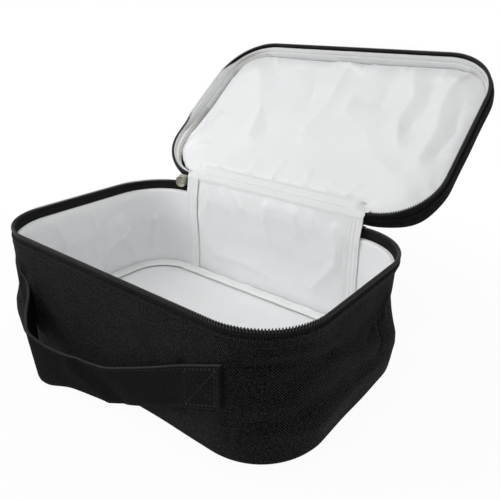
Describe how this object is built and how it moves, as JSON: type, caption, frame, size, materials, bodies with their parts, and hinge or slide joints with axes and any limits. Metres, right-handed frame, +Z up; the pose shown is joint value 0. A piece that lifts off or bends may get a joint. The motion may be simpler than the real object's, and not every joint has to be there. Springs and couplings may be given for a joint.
{
  "type": "vaccine carrier",
  "caption": "Soft-sided insulated carrier bag with a wrap-round zipped lid laid open, a white wipe-clean lining and a black side grab handle.",
  "frame": {"origin": "middle of the bag's base, on the surface that it stands on", "axes": "+Z up, +X along the lid's hinge to the bag's right, +Y to the back where the hinge is; the handle is on the -Y side"},
  "size_m": [0.286, 0.3527, 0.2172],
  "materials": {
    "outer_cloth": "woven black polyester",
    "webbing": "folded and stitched black cloth",
    "tape": "woven zip tape",
    "thread": "black sewing thread",
    "coil": "nylon coil",
    "zip_metal": "satin grey",
    "liner": "soft satin vinyl",
    "binding": "white folded tape",
    "board": "extruded sheet",
    "foam": "closed-cell foam"
  },
  "bodies": {
    "body": {"back_binding_left": "binding", "back_binding_right": "binding", "back_liner": "liner", "base_board": "board", "base_foam": "foam", "base_panel": "outer_cloth", "floor_binding": "binding", "floor_liner": "liner", "foam_back": "foam", "foam_back_left": "foam", "foam_back_right": "foam", "foam_front": "foam", "foam_front_left": "foam", "foam_front_right": "foam", "foam_left": "foam", "foam_right": "foam", "handle_end_left": "webbing", "handle_end_right": "webbing", "handle_stitching": "thread", "hinge_binding": "binding", "hinge_panel": "outer_cloth", "outer_wall": "outer_cloth", "rim_facing": "tape", "wall_liner": "liner", "zip_coil_body": "coil", "zip_end_tabs": "tape", "zip_stops": "zip_metal", "zip_tape_body": "tape"},
    "lid": {"lid_binding": "binding", "lid_foam_band": "foam", "lid_foam_panel": "foam", "lid_gusset": "outer_cloth", "lid_liner_band": "liner", "lid_liner_panel": "liner", "lid_outer_panel": "outer_cloth", "zip_coil_lid": "coil", "zip_tape_lid": "tape"},
    "slider": {"slider_body": "zip_metal"},
    "pull": {"pull_tab": "zip_metal"},
    "handle": {"handle_strap": "webbing"}
  },
  "joints": [
    {"name": "lid_hinge", "type": "hinge", "parent": "body", "child": "lid", "pos_m": [0, 0.0893, 0.103], "axis": [1, 0, 0], "range_deg": [-10, 142]},
    {"name": "slider_run", "type": "hinge", "parent": "body", "child": "slider", "pos_m": [-0.092, 0.041, 0.097], "axis": [0, 0, 1], "range_deg": [0, 81]},
    {"name": "pull_swing", "type": "hinge", "parent": "slider", "child": "pull", "pos_m": [-0.10423, 0.08613, 0.097], "axis": [-0.1822, 0.9833, 0], "range_deg": [-60, 60]},
    {"name": "handle_swing", "type": "hinge", "parent": "body", "child": "handle", "pos_m": [0, -0.0935, 0.046], "axis": [-1, 0, 0], "range_deg": [0, 90]}
  ]
}
